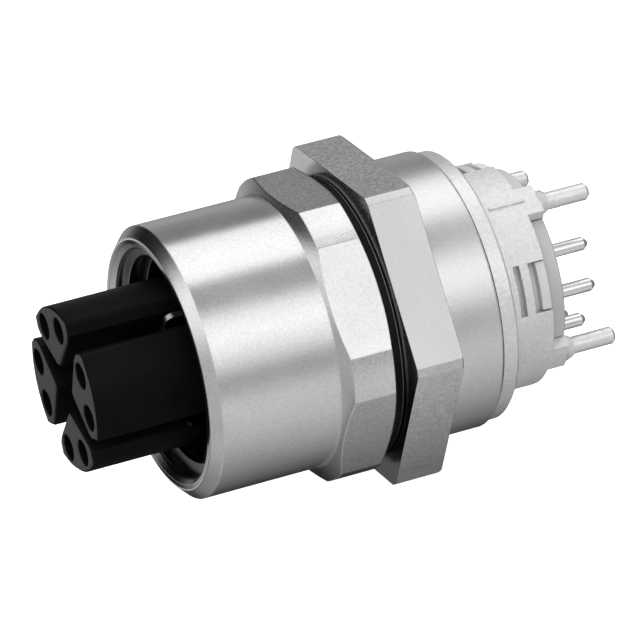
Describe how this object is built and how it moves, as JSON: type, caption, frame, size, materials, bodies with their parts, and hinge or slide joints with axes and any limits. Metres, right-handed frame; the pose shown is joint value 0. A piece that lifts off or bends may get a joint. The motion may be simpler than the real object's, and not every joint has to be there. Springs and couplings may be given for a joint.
{
  "type": "circular panel connector",
  "caption": "Female panel connector with M12 coupling thread, cross-shielded contact insert, hex flanges, seal, and a cast shield shell with solder posts.",
  "frame": {"origin": "centre of the four solder posts in the plane where their bosses seat on the circuit board", "axes": "+X along the connector's axis towards the pins, -X towards the mating face, +Z through the middle of one insert lobe, posts on the diagonals of Y and Z"},
  "size_m": [0.0286, 0.0178, 0.0176],
  "materials": {
    "nickel_turned": "turned brass, nickel plated, satin to bright",
    "nickel_cast": "die-cast zinc, nickel plated, fine matte",
    "seal_rubber": "matte black rubber",
    "insert_plastic": "satin black moulded plastic",
    "carrier_plastic": "matte grey moulded plastic",
    "shield_sheet": "plated sheet metal, satin",
    "contact_metal": "plated copper alloy, bright"
  },
  "bodies": {
    "body": {"rear_body": "nickel_turned", "shield_shell": "nickel_cast", "insert_lobe_1": "insert_plastic", "insert_lobe_2": "insert_plastic", "insert_lobe_3": "insert_plastic", "insert_lobe_4": "insert_plastic", "contact_insert": "insert_plastic", "insert_seal": "seal_rubber", "shield_plate_a": "shield_sheet", "shield_plate_b": "shield_sheet", "rear_carrier": "carrier_plastic", "contact_1": "contact_metal", "contact_2": "contact_metal", "contact_3": "contact_metal", "contact_4": "contact_metal", "contact_5": "contact_metal", "contact_6": "contact_metal", "contact_7": "contact_metal", "contact_8": "contact_metal"},
    "seal": {"panel_seal": "seal_rubber"},
    "sleeve": {"front_sleeve": "nickel_turned"}
  },
  "joints": [
    {"name": "sleeve_advance", "type": "slide", "parent": "body", "child": "seal", "axis": [-1, 0, 0], "range_m": [0, 0.003]},
    {"name": "sleeve_turn", "type": "hinge", "parent": "seal", "child": "sleeve", "pos_m": [-0.011, 0, 0], "axis": [-1, 0, 0], "range_deg": [0, 1080]}
  ],
  "couplings": [
    {"joint": "sleeve_advance", "follows": "sleeve_turn", "m_per_rad": 0.00015915}
  ]
}
